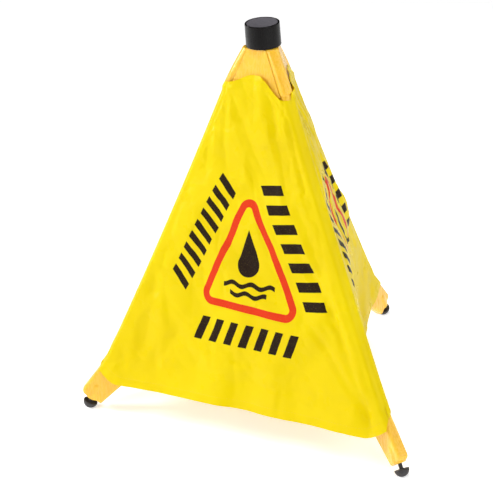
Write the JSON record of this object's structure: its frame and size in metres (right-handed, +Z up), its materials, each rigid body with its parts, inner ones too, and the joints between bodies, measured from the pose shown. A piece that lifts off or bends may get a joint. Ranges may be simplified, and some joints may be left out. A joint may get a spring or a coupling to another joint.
{
  "type": "pop-up wet floor sign",
  "caption": "Folding warning cone: spring-loaded hinged legs under a round cap, dressed in a bright fabric cover with rubber feet.",
  "frame": {"origin": "on the floor, under the middle of the object's bounding box", "axes": "+Z up, the front panel faces -Y, one leg points along +Y"},
  "size_m": [0.4751, 0.4126, 0.508],
  "materials": {
    "plastic": "moulded orange-yellow plastic, glossy",
    "cover": "coated yellow nylon cloth, semi-gloss",
    "cap": "black moulded plastic",
    "disc": "dark grey disc",
    "rubber": "dark rubber",
    "steel": "plated steel"
  },
  "bodies": {
    "hub": {"hub": "plastic", "cap": "cap", "cap_disc": "disc", "cap_screw": "steel", "hinge_pin_left": "steel", "hinge_pin_right": "steel", "hinge_pin_rear": "steel", "front_panel": "cover", "right_panel": "cover", "left_panel": "cover"},
    "left_leg": {"leg_left": "plastic", "shoe_left": "plastic", "foot_left": "rubber", "shoe_pin_left": "steel", "spring_left": "steel", "sleeve_left": "cover"},
    "right_leg": {"leg_right": "plastic", "shoe_right": "plastic", "foot_right": "rubber", "shoe_pin_right": "steel", "spring_right": "steel", "sleeve_right": "cover"},
    "rear_leg": {"leg_rear": "plastic", "shoe_rear": "plastic", "foot_rear": "rubber", "shoe_pin_rear": "steel", "spring_rear": "steel", "sleeve_rear": "cover"}
  },
  "joints": [
    {"name": "fold_left", "type": "hinge", "parent": "hub", "child": "left_leg", "pos_m": [-0.00927, -0.06915, 0.488], "axis": [0.5, -0.866, 0], "range_deg": [0, 24], "stiffness_Nm_per_rad": 0.05, "springref_deg": -28.65},
    {"name": "fold_right", "type": "hinge", "parent": "hub", "child": "right_leg", "pos_m": [0.00927, -0.06915, 0.488], "axis": [0.5, 0.866, 0], "range_deg": [0, 24.5], "stiffness_Nm_per_rad": 0.05, "springref_deg": -28.65},
    {"name": "fold_rear", "type": "hinge", "parent": "hub", "child": "rear_leg", "pos_m": [0, -0.0531, 0.488], "axis": [-1, 0, 0], "range_deg": [0, 24], "stiffness_Nm_per_rad": 0.05, "springref_deg": -28.65}
  ]
}
